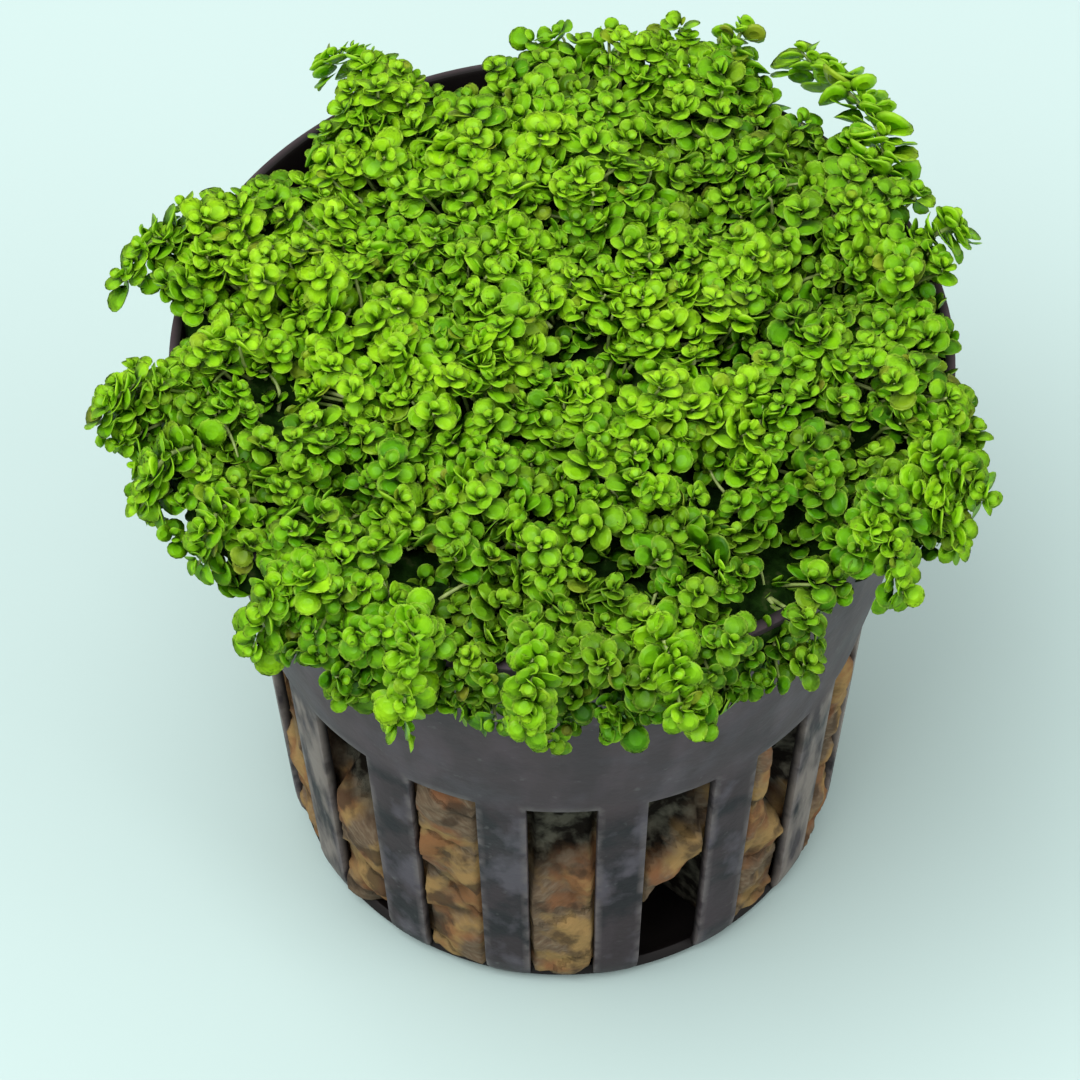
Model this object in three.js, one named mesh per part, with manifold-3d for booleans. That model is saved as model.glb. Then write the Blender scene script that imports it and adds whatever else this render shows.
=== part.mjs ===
// Giant baby tears, a small creeping water plant, growing in a slotted net pot.
// Millimetres, +Z up. The origin is the middle of the pot's base, on the surface that the pot
// stands on. An azimuth is in degrees round the pot: 0 faces the front, -Y, and 90 faces +X.
//
// The pieces are the moulded net pot, the plug of rockwool that the roots grow in, the cushion of
// shoots that fills the mouth of the pot, and the longer shoots that trail over its rim.

import * as THREE from "three";
import { mergeVertices } from "three/addons/utils/BufferGeometryUtils.js";
import Module from "manifold-3d";

const wasm = await Module();
wasm.setup();

// Net pot
const POT_HEIGHT = 50;
const RIM_RADIUS = 27.5;
const SHOULDER_HEIGHT = 26.2; // where the slots end and the wall starts to flare
const SHOULDER_RADIUS = 22.6;
const BASE_RADIUS = 20.6;
const BASE_CORNER = 2.4;
const WALL = 0.8;
const FLOOR = 0.8;
const RIM_BEAD = 0.55; // radius of the rounded edge on top of the rim
const SLOT_COUNT = 16;
const POT_SIDES = 2 * SLOT_COUNT; // a flat at each slot and at each bar
const SLOT_WIDTH_DEG = 12.8;
const SLOT_FOOT = 0.9; // height of the closed ring under the slots
const SLOT_TOP = 26;
const FLOOR_HOLE_COUNT = 6;
const FLOOR_HOLE_WIDTH_DEG = 24;
const FLOOR_HOLE_FROM = 7;
const FLOOR_HOLE_TO = 15.5;

// Clearance between pieces that touch
const GAP = 0.3;
const CUT_MARGIN = 2; // how far a cutting solid runs past what it cuts
const RIM_CLEARANCE_FROM = 34; // height under everything that hangs over the rim
const SHORTEST_EDGE = 0.02;
const WELD = 1e-4; // corners closer than this are one corner

// Rockwool plug
const WOOL_SIDES = 2 * SLOT_COUNT; // a point at each slot and at each bar
const WOOL_LEVELS = 7;
const WOOL_BOTTOM = FLOOR + GAP;
const WOOL_TOP = 43.6;
const WOOL_FOLD = 1.3; // depth of the creases between its folded layers
const WOOL_FOLD_SHARPNESS = 0.6; // below 1, the creases are narrow and the layers full
const WOOL_FOLDS_ROUND = 5; // creases met on the way once round the plug
const WOOL_FOLD_TURN = 11; // degrees that the creases turn for each unit of height
const WOOL_BULGE = 0.7; // how far it swells into the slots
// Hollows where the wool stands back from the wall: azimuth, height, depth and half width
const WOOL_HOLLOWS = [
  { azimuth: 24, height: 4, depth: 7.5, width: 6.5 },
  { azimuth: -44, height: 21, depth: 5, width: 5 },
  { azimuth: 52, height: 20, depth: 5, width: 5 },
  { azimuth: 2, height: 24, depth: 4, width: 5 },
  { azimuth: -68, height: 20, depth: 4, width: 5 },
  { azimuth: 150, height: 8, depth: 6, width: 6 },
  { azimuth: 205, height: 22, depth: 5, width: 6 },
];

// Cushion of shoots. Its skin is laid out flat as a disc, then bent down over the pot's rim.
const CUSHION_BOTTOM = WOOL_TOP + 0.6;
const CUSHION_CROWN = 53; // height of its middle
const CUSHION_SHOULDER = 52.1; // height where it starts to bend down
const BEND_FROM = 24; // distance from the middle where the bend starts
const BEND_SHARPNESS = 1.7; // above 1, the skin stays level for longer before it drops
const DISC_RADIUS = 32.2; // radius of the skin laid out flat
const TUFT_RINGS = 6; // rings of tufts round the one in the middle
const TUFT_LEAVES = 4;
const TUFT_SEED = 3; // picks one arrangement of uneven tufts
const TUFT_WIDTH = 0.78; // leaf tips to middle, as a share of the room that a tuft has
const TUFT_RISE = 1.3; // leaf tips of a tuft above the cushion's skin
const TUFT_RISE_SPREAD = 1.4;
const TUFT_DIP = 0.5; // heart of a tuft below its leaf tips
const TUFT_TILT = 0.8; // height of one side of a tuft's leaves over the other
const TUFT_CLEFT = 0.9; // clefts between tufts, below the skin
const TUFT_CORNER_SHIFT = 0.06; // unevenness of the cells, as a share of their width
// Edge of the cushion's skin: azimuth, distance from the middle, height
const EDGE = [
  [0, 29.2, 46],
  [14, 29.4, 46],
  [26, 28.8, 47.4],
  [35, 28.4, 47.4],
  [42, 26.2, 49.4],
  [50, 29, 48],
  [62, 30.4, 48],
  [75, 29.2, 49.4],
  [86, 27, 50.6],
  [97, 27.2, 50.8],
  [108, 27.8, 50.6],
  [121, 28.8, 50.8],
  [131, 28.2, 51],
  [142, 26.2, 51],
  [152, 29.2, 51.2],
  [165, 29.2, 51.4],
  [181, 28, 51.2],
  [197, 26, 50.6],
  [208, 28.6, 51],
  [217, 26.8, 50.8],
  [228, 25.8, 49.2],
  [240, 26.8, 50],
  [252, 30, 50.4],
  [266, 28.4, 49.8],
  [279, 30.8, 49],
  [291, 31, 48.2],
  [303, 30.4, 47.4],
  [315, 30, 46.6],
  [328, 29.8, 46],
  [345, 29.4, 46],
];
// Clefts where the cushion sinks: azimuth, distance from the middle, depth and half width
const HOLLOWS = [
  { azimuth: 228, distance: 21.5, depth: 2.2, width: 3.4 },
  { azimuth: 42, distance: 24.5, depth: 2.6, width: 3 },
  { azimuth: 41, distance: 18, depth: 2.4, width: 2.6 },
  { azimuth: 90, distance: 23, depth: 1.5, width: 3 },
  { azimuth: 103, distance: 21.5, depth: 2.4, width: 2.4 },
  { azimuth: 141, distance: 16, depth: 2.4, width: 2.6 },
  { azimuth: 143, distance: 25, depth: 1.8, width: 3 },
  { azimuth: 198, distance: 24, depth: 1.8, width: 2.6 },
  { azimuth: 288, distance: 19, depth: 1.8, width: 2.4 },
  { azimuth: 358, distance: 20.5, depth: 2, width: 2.4 },
];

// Trailing shoots: azimuth at the root, swing of the tip round the pot in degrees, the tip's
// distance from the pot's axis, the tip's height, and the height of the stem's arch over the rim
const SHOOTS = [
  { azimuth: 356, swing: 0, reach: 31.3, tip: 47.2, arch: 56 },
  { azimuth: 14, swing: 1, reach: 31.3, tip: 47.6, arch: 56 },
  { azimuth: 46, swing: -2, reach: 30.4, tip: 48.2, arch: 55.4 },
  { azimuth: 57, swing: 2, reach: 31.6, tip: 48, arch: 55.8 },
  { azimuth: 66, swing: 2, reach: 32, tip: 50, arch: 55.2 },
  { azimuth: 104, swing: 2, reach: 29.4, tip: 49, arch: 55 },
  { azimuth: 120, swing: 27, reach: 31.4, tip: 51, arch: 54.6 },
  { azimuth: 154, swing: 1, reach: 30.8, tip: 51.6, arch: 54.8 },
  { azimuth: 208, swing: 6, reach: 31, tip: 50.4, arch: 55 },
  { azimuth: 251, swing: 7, reach: 31.6, tip: 49.4, arch: 55.4 },
  { azimuth: 280, swing: 1, reach: 32.4, tip: 49.8, arch: 55.8 },
  { azimuth: 292, swing: 1, reach: 32.4, tip: 48.2, arch: 55.8 },
  { azimuth: 304, swing: 1, reach: 31.4, tip: 47.8, arch: 55.8 },
  { azimuth: 321, swing: 0, reach: 31.4, tip: 46.8, arch: 56 },
  { azimuth: 339, swing: 1, reach: 31.2, tip: 47.2, arch: 56 },
];
const STEM_RADIUS = 0.38;
const STEM_SIDES = 4;
const STEM_ROOT_DISTANCE = 24.6;
const STEM_ROOT_HEIGHT = 51;
const STEM_ARCH_INSET = 0.6; // the arch stays this much inside the tip's reach
const STEM_TURN_OUT = 2; // length over which the tip turns outward
const STEM_TIP_DROP = 0.8; // height that the stem loses over that length
const STEM_SWING_EARLY = 0.2; // share of the swing done at the arch
const STEM_SWING_LATE = 0.8; // share of the swing done where the tip turns outward
const STEM_BARE = 4.4; // length at the root without leaves
const WHORL_SPACING = 2.7;
const WHORL_LEAVES = 4;
const WHORL_RADIUS = 2.2;
const WHORL_THICKNESS = 0.7;
const WHORL_CUP = 0.5; // leaf tips of a whorl beyond its middle, along the stem
const WHORL_SMALLEST = 0.86; // size of the smallest whorl, as a share of WHORL_RADIUS
const WHORL_SIZE_SPREAD = 0.16;
const WHORL_TWIST = 20; // uneven turn of the whorls, in degrees

const COLOURS = {
  pot: 0x4b494f,
  wool: 0x8c6b3c,
  cushion: 0x63a317,
  shoot: 0x7fbf22,
};

const radians = THREE.MathUtils.degToRad;

// A point at a distance from the pot's axis, at an azimuth and a height.
function around(distance, azimuth, height) {
  const turn = radians(azimuth);
  return new THREE.Vector3(distance * Math.sin(turn), -distance * Math.cos(turn), height);
}

// A number from 0 to 1 that is always the same for the same pair of numbers.
function scatter(a, b) {
  const wave = Math.sin(a * 127.1 + b * 311.7) * 43758.5453;
  return wave - Math.floor(wave);
}

// The shortest way round from one azimuth to another, in degrees.
function degreesBetween(a, b) {
  return Math.abs(((a - b + 540) % 360) - 180);
}

// A smooth bump: 1 at distance 0, and near 0 past twice the width.
function bump(distance, width) {
  return Math.exp(-((distance / width) ** 2));
}

function solidFrom(geometry) {
  const bare = geometry.clone();
  bare.deleteAttribute("normal");
  bare.deleteAttribute("uv");
  const merged = mergeVertices(bare, WELD);
  return new wasm.Manifold(
    new wasm.Mesh({
      numProp: 3,
      vertProperties: merged.attributes.position.array,
      triVerts: new Uint32Array(merged.index.array),
    }),
  );
}

function largestPiece(solid) {
  const pieces = solid.decompose();
  return pieces.reduce((most, each) => (each.volume() > most.volume() ? each : most));
}

function solidFromFaces(positions, index) {
  const geometry = new THREE.BufferGeometry();
  geometry.setAttribute("position", new THREE.Float32BufferAttribute(positions, 3));
  geometry.setIndex(index);
  return solidFrom(geometry);
}

// A solid with the corners that cuts leave almost on one point drawn together.
function drawnTogether(solid) {
  const { vertProperties, triVerts } = solid.getMesh();
  const corner = (i) => new THREE.Vector3().fromArray(vertProperties, 3 * i);
  const standFor = Array.from({ length: vertProperties.length / 3 }, (_, i) => i);
  const keeper = (i) => (standFor[i] === i ? i : keeper(standFor[i]));
  for (let i = 0; i < triVerts.length; i += 1) {
    const [a, b] = [triVerts[i], triVerts[i % 3 === 2 ? i - 2 : i + 1]].map(keeper);
    if (a !== b && corner(a).distanceTo(corner(b)) < SHORTEST_EDGE) standFor[b] = a;
  }
  const kept = new Map();
  for (let i = 0; i < triVerts.length; i += 3) {
    const triangle = [0, 1, 2].map((j) => keeper(triVerts[i + j]));
    if (new Set(triangle).size < 3) continue;
    const key = [...triangle].sort((a, b) => a - b).join();
    if (kept.has(key)) kept.delete(key);
    else kept.set(key, triangle);
  }
  return largestPiece(solidFromFaces(vertProperties, [...kept.values()].flat()));
}

function geometryFrom(solid) {
  const mesh = drawnTogether(solid).getMesh();
  const geometry = new THREE.BufferGeometry();
  geometry.setAttribute("position", new THREE.BufferAttribute(mesh.vertProperties, 3));
  geometry.setIndex(new THREE.BufferAttribute(mesh.triVerts, 1));
  const faceted = geometry.toNonIndexed();
  faceted.computeVertexNormals();
  return faceted;
}

function meshOf(name, geometry, colour, roughness) {
  const material = new THREE.MeshStandardMaterial({ color: colour, roughness, metalness: 0 });
  const mesh = new THREE.Mesh(geometry, material);
  mesh.name = name;
  return mesh;
}

// A profile of [radius, height] points turned round the pot's axis, with a flat at the front.
function turned(profile, sides) {
  const points = profile.map(([radius, height]) => new THREE.Vector2(radius, height));
  return new THREE.LatheGeometry(points, sides, Math.PI / sides).rotateX(Math.PI / 2);
}

// The outside radius of the pot's wall at a height, above the rounded corner.
function wallRadius(height) {
  const { lerp, clamp } = THREE.MathUtils;
  if (height < SHOULDER_HEIGHT)
    return lerp(BASE_RADIUS, SHOULDER_RADIUS, clamp(height / SHOULDER_HEIGHT, 0, 1));
  const up = (height - SHOULDER_HEIGHT) / (POT_HEIGHT - SHOULDER_HEIGHT);
  return lerp(SHOULDER_RADIUS, RIM_RADIUS, up);
}

// A wedge between two radii, centred on an azimuth, from one height to another.
function wedge(azimuth, widthDeg, from, to, bottom, top) {
  const half = widthDeg / 2;
  const corners = [
    around(from, azimuth - half, 0),
    around(to, azimuth - half, 0),
    around(to, azimuth + half, 0),
    around(from, azimuth + half, 0),
  ];
  const shape = new THREE.Shape(corners.map((point) => new THREE.Vector2(point.x, point.y)));
  const depth = top - bottom;
  const geometry = new THREE.ExtrudeGeometry(shape, { depth, bevelEnabled: false });
  return solidFrom(geometry.translate(0, 0, bottom));
}

function netPot() {
  const corner = [0, 45, 90].map((degrees) => {
    const turn = radians(degrees);
    return [
      BASE_RADIUS - BASE_CORNER * (1 - Math.sin(turn)),
      BASE_CORNER * (1 - Math.cos(turn)),
    ];
  });
  const bead = [0, 90, 180].map((degrees) => {
    const turn = radians(degrees);
    return [
      RIM_RADIUS - RIM_BEAD + RIM_BEAD * Math.cos(turn),
      POT_HEIGHT - RIM_BEAD + RIM_BEAD * Math.sin(turn),
    ];
  });
  const shell = turned(
    [
      [0, 0],
      ...corner,
      [SHOULDER_RADIUS, SHOULDER_HEIGHT],
      ...bead,
      [SHOULDER_RADIUS - WALL, SHOULDER_HEIGHT],
      [BASE_RADIUS - WALL, BASE_CORNER],
      [BASE_RADIUS - BASE_CORNER, FLOOR],
      [0, FLOOR],
    ],
    POT_SIDES,
  );
  let pot = solidFrom(shell);
  for (let i = 0; i < SLOT_COUNT; i += 1) {
    const azimuth = (360 / SLOT_COUNT) * i;
    const inner = BASE_RADIUS - BASE_CORNER;
    const outer = SHOULDER_RADIUS + CUT_MARGIN;
    const slot = wedge(azimuth, SLOT_WIDTH_DEG, inner, outer, SLOT_FOOT, SLOT_TOP);
    pot = pot.subtract(slot);
  }
  for (let i = 0; i < FLOOR_HOLE_COUNT; i += 1) {
    const azimuth = (360 / FLOOR_HOLE_COUNT) * i;
    const [width, top] = [FLOOR_HOLE_WIDTH_DEG, FLOOR + CUT_MARGIN];
    const hole = wedge(azimuth, width, FLOOR_HOLE_FROM, FLOOR_HOLE_TO, -CUT_MARGIN, top);
    pot = pot.subtract(hole);
  }
  return pot;
}

// The room that the pot's wall and rim take, with the gap that other pieces keep to them.
function rimClearance() {
  const low = RIM_CLEARANCE_FROM;
  const profile = [
    [wallRadius(low) - WALL - 2 * GAP, low],
    [wallRadius(low) + GAP, low],
    [RIM_RADIUS + GAP, POT_HEIGHT + GAP],
    [RIM_RADIUS - 2 * RIM_BEAD - GAP, POT_HEIGHT + GAP],
    [wallRadius(low) - WALL - 2 * GAP, low],
  ];
  return solidFrom(turned(profile, POT_SIDES));
}

// The plug is one slab of wool rolled up and pushed in, so its side shows slanting folds.
function rockwoolPlug() {
  const positions = [];
  const index = [];
  const id = (level, side) => level * WOOL_SIDES + (side % WOOL_SIDES);
  const skirt = BASE_CORNER + GAP;
  for (let level = 0; level <= WOOL_LEVELS; level += 1) {
    const share = (level - 1) / (WOOL_LEVELS - 1);
    const height = level === 0 ? WOOL_BOTTOM : THREE.MathUtils.lerp(skirt, WOOL_TOP, share);
    for (let side = 0; side < WOOL_SIDES; side += 1) {
      const azimuth = (360 / WOOL_SIDES) * side;
      const slant = radians(azimuth * WOOL_FOLDS_ROUND + height * WOOL_FOLD_TURN);
      const fold = WOOL_FOLD * (1 - Math.abs(Math.sin(slant / 2)) ** WOOL_FOLD_SHARPNESS);
      let hollow = 0;
      for (const { azimuth: at, height: up, depth, width } of WOOL_HOLLOWS) {
        const aside = radians(degreesBetween(azimuth, at)) * BASE_RADIUS;
        hollow += depth * bump(Math.hypot(aside, height - up), width);
      }
      const room = wallRadius(height) - WALL - 2 * GAP;
      const tucked = level === 0 || level === WOOL_LEVELS ? BASE_CORNER / 2 : 0;
      const atSlot = side % 2 === 0 && level > 0 && height < SLOT_TOP;
      const swell = atSlot ? WOOL_BULGE : 0;
      positions.push(...around(room + swell - fold - hollow - tucked, azimuth, height));
    }
  }
  for (let level = 0; level < WOOL_LEVELS; level += 1)
    for (let side = 0; side < WOOL_SIDES; side += 1) {
      const [a, b] = [id(level, side), id(level, side + 1)];
      const [c, d] = [id(level + 1, side + 1), id(level + 1, side)];
      index.push(a, b, c, a, c, d);
    }
  const foot = positions.push(0, 0, WOOL_BOTTOM) / 3 - 1;
  const head = positions.push(0, 0, WOOL_TOP) / 3 - 1;
  for (let side = 0; side < WOOL_SIDES; side += 1) {
    index.push(foot, id(0, side + 1), id(0, side));
    index.push(head, id(WOOL_LEVELS, side), id(WOOL_LEVELS, side + 1));
  }
  return solidFromFaces(positions, index);
}

// Distance and height of the cushion's edge at an azimuth, read between the points of EDGE.
function edgeAt(azimuth) {
  const turn = ((azimuth % 360) + 360) % 360;
  const next = EDGE.findIndex(([at]) => at > turn);
  const [from, nearDistance, nearHeight] = EDGE[next < 0 ? EDGE.length - 1 : next - 1];
  const [to, farDistance, farHeight] = next < 0 ? [360, ...EDGE[0].slice(1)] : EDGE[next];
  const share = THREE.MathUtils.smoothstep(turn, from, to);
  return [
    THREE.MathUtils.lerp(nearDistance, farDistance, share),
    THREE.MathUtils.lerp(nearHeight, farHeight, share),
  ];
}

// A point of the cushion: x and y on its skin laid out flat, and lift above the skin.
// Past BEND_FROM the skin follows a quarter of an ellipse down to the edge.
function cushionPoint(x, y, lift) {
  const azimuth = THREE.MathUtils.radToDeg(Math.atan2(x, -y));
  const along = Math.hypot(x, y);
  const [edgeDistance, edgeHeight] = edgeAt(azimuth);
  const inside = Math.min(along / BEND_FROM, 1);
  let distance = inside * BEND_FROM;
  let height = THREE.MathUtils.lerp(CUSHION_CROWN, CUSHION_SHOULDER, inside ** 2);
  let tilt = 0;
  if (along > BEND_FROM) {
    const turn = (Math.PI / 2) * ((along - BEND_FROM) / (DISC_RADIUS - BEND_FROM));
    const out = edgeDistance - BEND_FROM;
    const drop = CUSHION_SHOULDER - edgeHeight;
    distance += out * Math.sin(turn);
    height -= drop * (1 - Math.cos(turn)) ** BEND_SHARPNESS;
    tilt = Math.atan2(drop * Math.sin(turn), out * Math.cos(turn) + 1);
  }
  const here = around(distance, azimuth, 0);
  for (const hollow of HOLLOWS) {
    const away = here.distanceTo(around(hollow.distance, hollow.azimuth, 0));
    height -= hollow.depth * bump(away, hollow.width);
  }
  return around(distance + lift * Math.sin(tilt), azimuth, height + lift * Math.cos(tilt));
}

// Rim of a round group of leaves as [angle, share of its radius], three points to a leaf.
function leafRim(leafCount, start) {
  const rim = [];
  for (let leaf = 0; leaf < leafCount; leaf += 1)
    for (const [share, size] of [
      [0, 0.6],
      [0.3, 1],
      [0.7, 1],
    ])
      rim.push([start + (2 * Math.PI * (leaf + share)) / leafCount, size]);
  return rim;
}

// An even rim of [angle, share of its radius].
function roundRim(sides, start) {
  return Array.from({ length: sides }, (_, i) => [start + (2 * Math.PI * i) / sides, 1]);
}

// Faces between two closed rings of { id, angle }, seen from the side that the first one faces.
function joinRings(index, near, far) {
  const at = (ring, i) => ring[i % ring.length].id;
  const angle = (ring, i) => ring[i % ring.length].angle + 2 * Math.PI * Math.floor(i / ring.length);
  let i = 0;
  let j = 0;
  while (i < near.length || j < far.length) {
    const nearFirst = angle(near, i + 1) < angle(far, j + 1);
    if (j >= far.length || (i < near.length && nearFirst)) {
      index.push(at(near, i), at(far, j), at(near, i + 1));
      i += 1;
    } else {
      index.push(at(near, i), at(far, j), at(far, j + 1));
      j += 1;
    }
  }
}

// Faces from one point to a closed ring round it.
function joinPoint(index, point, ring) {
  ring.forEach(({ id }, i) => index.push(point, id, ring[(i + 1) % ring.length].id));
}

// A point of the six-sided honeycomb, one unit from cell to cell, moved out onto the flat disc.
function onDisc(x, y) {
  let across = 0;
  for (let side = 0; side < 6; side += 1) {
    const angle = radians(60 * side + 30);
    across = Math.max(across, x * Math.cos(angle) + y * Math.sin(angle));
  }
  const ring = across / Math.cos(radians(30));
  const scale = ring / Math.max(Math.hypot(x, y), 1e-6);
  const unit = DISC_RADIUS / (TUFT_RINGS + 0.5);
  return [x * scale * unit, y * scale * unit];
}

// The tufts stand on a honeycomb, and neighbours share the corners of their cells.
function cushionSkin(spread) {
  const positions = [];
  const index = [];
  const corners = new Map();
  const side = 1 / Math.sqrt(3);
  const add = (x, y, lift) =>
    positions.push(...cushionPoint(...onDisc(x, y), lift + spread)) / 3 - 1;
  const cornerAt = (x, y) => {
    const [column, row] = [Math.round(2 * x), Math.round((2 * y) / side)];
    const key = `${column},${row}`;
    if (!corners.has(key)) {
      const shift = 2 * TUFT_CORNER_SHIFT * (scatter(column, row) - 0.5);
      corners.set(key, add(x + shift, y - shift, -TUFT_CLEFT));
    }
    return corners.get(key);
  };
  const addTuft = (row, step) => {
    const middleX = step + row / 2;
    const middleY = 1.5 * side * row;
    const turn = radians((360 / TUFT_LEAVES) * scatter(row + TUFT_SEED, step));
    const rise = TUFT_RISE + TUFT_RISE_SPREAD * (scatter(step, row + TUFT_SEED) - 0.5);
    const tilt = TUFT_TILT * (scatter(TUFT_SEED - row, step) - 0.5);
    const leaves = leafRim(TUFT_LEAVES, turn).map(([angle, size]) => {
      const radius = TUFT_WIDTH * side * size;
      const lift = rise + tilt * Math.sin(angle) - (size < 1 ? TUFT_DIP : 0);
      const [x, y] = [radius * Math.cos(angle), radius * Math.sin(angle)];
      return { id: add(middleX + x, middleY + y, lift), angle };
    });
    const cell = [];
    const first = Math.round((turn - radians(30)) / radians(60));
    for (let i = first; i < first + 6; i += 1) {
      const angle = radians(60 * i + 30);
      const [x, y] = [side * Math.cos(angle), side * Math.sin(angle)];
      cell.push({ id: cornerAt(middleX + x, middleY + y), angle });
    }
    joinPoint(index, add(middleX, middleY, rise - TUFT_DIP), leaves);
    joinRings(index, leaves, cell);
  };
  for (let row = -TUFT_RINGS; row <= TUFT_RINGS; row += 1)
    for (let step = -TUFT_RINGS; step <= TUFT_RINGS; step += 1)
      if (Math.abs(row + step) <= TUFT_RINGS) addTuft(row, step);
  return { positions, index };
}

// The open edge of a skin, as a loop of its points in order.
function edgeLoop(index) {
  const after = new Map();
  const key = (a, b) => `${a}-${b}`;
  const sides = new Set();
  for (let i = 0; i < index.length; i += 3)
    for (let j = 0; j < 3; j += 1) sides.add(key(index[i + j], index[i + ((j + 1) % 3)]));
  for (const each of sides) {
    const [a, b] = each.split("-").map(Number);
    if (!sides.has(key(b, a))) after.set(b, a);
  }
  const loop = [after.keys().next().value];
  while (loop.length < after.size) loop.push(after.get(loop[loop.length - 1]));
  return loop;
}

// The skin of tufts closed by an underside that lies on the wool, inside the pot's wall.
// spread is the room that other pieces keep to it.
function cushionBody(spread = 0) {
  const { positions, index } = cushionSkin(spread);
  const loop = edgeLoop(index);
  const inside = wallRadius(CUSHION_BOTTOM) - WALL - 2 * GAP;
  const foot = loop.map((point) => {
    const azimuth = THREE.MathUtils.radToDeg(
      Math.atan2(positions[3 * point], -positions[3 * point + 1]),
    );
    return positions.push(...around(inside, azimuth, CUSHION_BOTTOM)) / 3 - 1;
  });
  const middle = positions.push(0, 0, CUSHION_BOTTOM) / 3 - 1;
  loop.forEach((point, i) => {
    const j = (i + 1) % loop.length;
    index.push(point, loop[j], foot[j], point, foot[j], foot[i]);
    index.push(middle, foot[i], foot[j]);
  });
  return solidFromFaces(positions, index);
}

// The line of a shoot's stem: out of the cushion, over the rim, down, and out at the tip.
function stemLine({ azimuth, swing, reach, tip, arch }) {
  return new THREE.CubicBezierCurve3(
    around(STEM_ROOT_DISTANCE, azimuth, STEM_ROOT_HEIGHT),
    around(reach - STEM_ARCH_INSET, azimuth + swing * STEM_SWING_EARLY, arch),
    around(reach - STEM_TURN_OUT, azimuth + swing * STEM_SWING_LATE, tip + STEM_TIP_DROP),
    around(reach, azimuth + swing, tip),
  );
}

// A shoot is one body: rings of its stem joined to the rims of its whorls of leaves.
function trailingShoot(shoot, number) {
  const line = stemLine(shoot);
  const positions = [];
  const index = [];
  const sideways = around(1, shoot.azimuth + 90, 0);
  const length = line.getLength();
  const ring = (at, along, radius, cup, rim) => {
    const ahead = line.getTangentAt(at);
    const across = sideways.clone().addScaledVector(ahead, -ahead.dot(sideways)).normalize();
    const up = ahead.clone().cross(across);
    return rim.map(([angle, size]) => {
      const point = line.getPointAt(at).addScaledVector(ahead, along + cup * size);
      point.addScaledVector(across, radius * size * Math.cos(angle));
      point.addScaledVector(up, radius * size * Math.sin(angle));
      return { id: positions.push(...point) / 3 - 1, angle };
    });
  };
  const stem = roundRim(STEM_SIDES, 0);
  const thick = WHORL_THICKNESS / 2;
  let last = ring(0, 0, STEM_RADIUS, 0, stem);
  const foot = positions.push(...line.getPoint(0)) / 3 - 1;
  joinPoint(index, foot, [...last].reverse());
  const whorls = Math.floor((length - STEM_BARE) / WHORL_SPACING) + 1;
  for (let i = 0; i < whorls; i += 1) {
    const at = 1 - ((whorls - 1 - i) * WHORL_SPACING) / length;
    const size = WHORL_RADIUS * (WHORL_SMALLEST + WHORL_SIZE_SPREAD * scatter(number, i));
    const start = radians((180 / WHORL_LEAVES) * (i % 2) + WHORL_TWIST * scatter(i, number));
    const leaves = leafRim(WHORL_LEAVES, start);
    for (const [along, radius, cup, rim] of [
      [-thick, STEM_RADIUS, 0, stem],
      [0, size, WHORL_CUP, leaves],
      [thick, STEM_RADIUS, 0, stem],
    ]) {
      const next = ring(at, along, radius, cup, rim);
      joinRings(index, next, last);
      last = next;
    }
  }
  const end = line.getPoint(1).addScaledVector(line.getTangent(1), thick);
  joinPoint(index, positions.push(...end) / 3 - 1, last);
  return solidFromFaces(positions, index);
}

const plant = new THREE.Group();
const rim = rimClearance();
const cushion = largestPiece(cushionBody().subtract(rim));
const taken = cushionBody(GAP).add(cushion).add(rim);

plant.add(meshOf("net_pot", geometryFrom(netPot()), COLOURS.pot, 0.55));
plant.add(meshOf("rockwool_plug", geometryFrom(rockwoolPlug()), COLOURS.wool, 0.95));
plant.add(meshOf("leaf_cushion", geometryFrom(cushion), COLOURS.cushion, 0.55));
SHOOTS.forEach((shoot, i) => {
  const solid = largestPiece(trailingShoot(shoot, i).subtract(taken));
  const name = `trailing_shoot_${String(i + 1).padStart(2, "0")}`;
  plant.add(meshOf(name, geometryFrom(solid), COLOURS.shoot, 0.5));
});

export default plant;
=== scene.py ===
import math

import bmesh
import bpy
import numpy as np
from mathutils import Matrix, Vector, noise


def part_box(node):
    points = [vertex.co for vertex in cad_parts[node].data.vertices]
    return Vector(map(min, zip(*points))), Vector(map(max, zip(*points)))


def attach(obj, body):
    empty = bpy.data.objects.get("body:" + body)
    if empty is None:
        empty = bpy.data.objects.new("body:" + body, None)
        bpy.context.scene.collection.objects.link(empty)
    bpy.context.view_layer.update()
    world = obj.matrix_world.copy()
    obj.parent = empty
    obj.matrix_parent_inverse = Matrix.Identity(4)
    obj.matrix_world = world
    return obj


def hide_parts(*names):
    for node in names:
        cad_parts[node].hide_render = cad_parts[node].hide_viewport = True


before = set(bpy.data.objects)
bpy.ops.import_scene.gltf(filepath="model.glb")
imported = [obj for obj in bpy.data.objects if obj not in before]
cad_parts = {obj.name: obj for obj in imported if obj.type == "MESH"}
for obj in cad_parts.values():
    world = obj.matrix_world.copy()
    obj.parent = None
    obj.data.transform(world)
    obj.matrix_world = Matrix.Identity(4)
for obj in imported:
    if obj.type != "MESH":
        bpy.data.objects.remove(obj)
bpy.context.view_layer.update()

# Camera. The photo looks down at the front of the pot from 51 degrees through a long lens, and
# the middle of the pot's rim stands at a known pixel of the square picture.
MM = 0.001
rim_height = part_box("net_pot")[1][2]
elevation = math.radians(51.3)
distance = 400 * MM
picture_size = 1080
sensor_width = 36
rim_pixel = (562.0, 352.2)
focal_pixels = 5724.0
toward_camera = Vector((0, -math.cos(elevation), math.sin(elevation)))
pitch = math.atan((rim_pixel[1] - picture_size / 2) / focal_pixels)
yaw = math.atan((rim_pixel[0] - picture_size / 2) / focal_pixels)
aim = Matrix.Rotation(math.pi / 2 - elevation + pitch, 4, "X") @ Matrix.Rotation(yaw, 4, "Y")
bpy.ops.object.camera_add()
camera = bpy.context.object
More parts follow.
